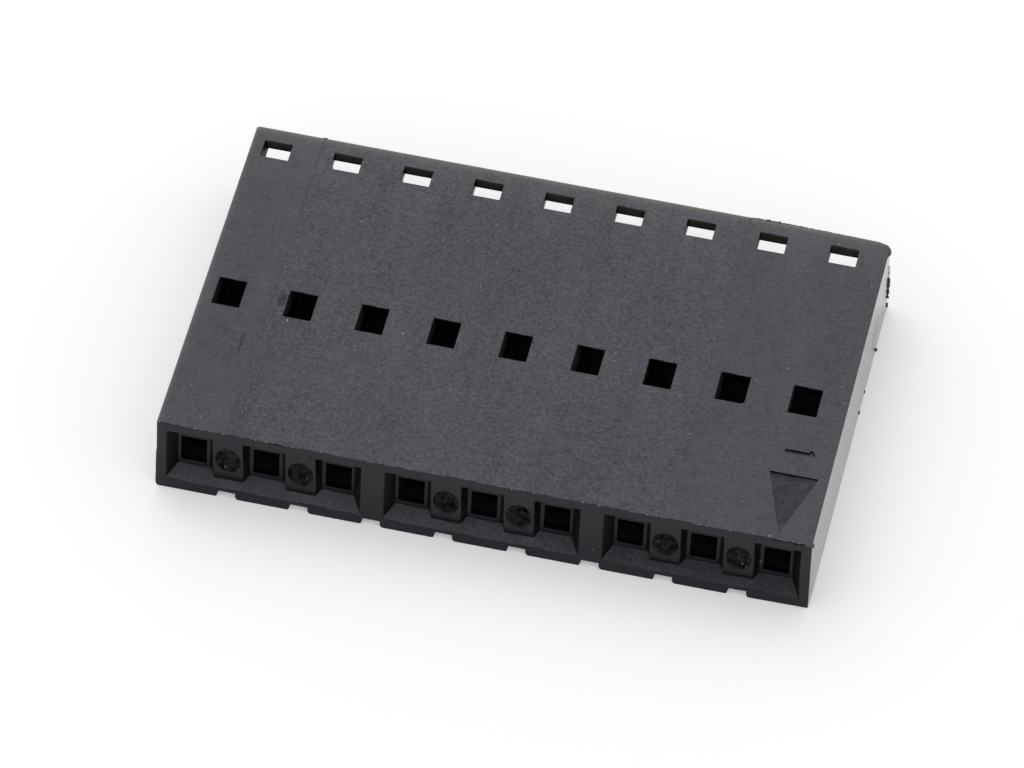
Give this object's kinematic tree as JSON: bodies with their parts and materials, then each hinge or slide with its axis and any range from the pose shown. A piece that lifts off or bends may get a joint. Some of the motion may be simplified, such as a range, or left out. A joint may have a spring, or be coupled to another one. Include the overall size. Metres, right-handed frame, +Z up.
{
  "type": "crimp connector housing",
  "caption": "Low single-row crimp terminal housing moulded in one piece, with tang windows in the top, open wire entries at the rear and grouped pin entries in the mating face.",
  "frame": {"origin": "middle of the underside, half way along the row of circuits and half way from the mating face to the rear", "axes": "+X along the row of circuits towards circuit 1, +Y from the mating face to the wire entries, +Z up through the top wall"},
  "size_m": [0.0228, 0.0144, 0.0032],
  "materials": {
    "housing": "glass filled thermoplastic, spark eroded matte top, smoother mating face and ends"
  },
  "bodies": {
    "root": {"housing": "housing"}
  },
  "joints": []
}
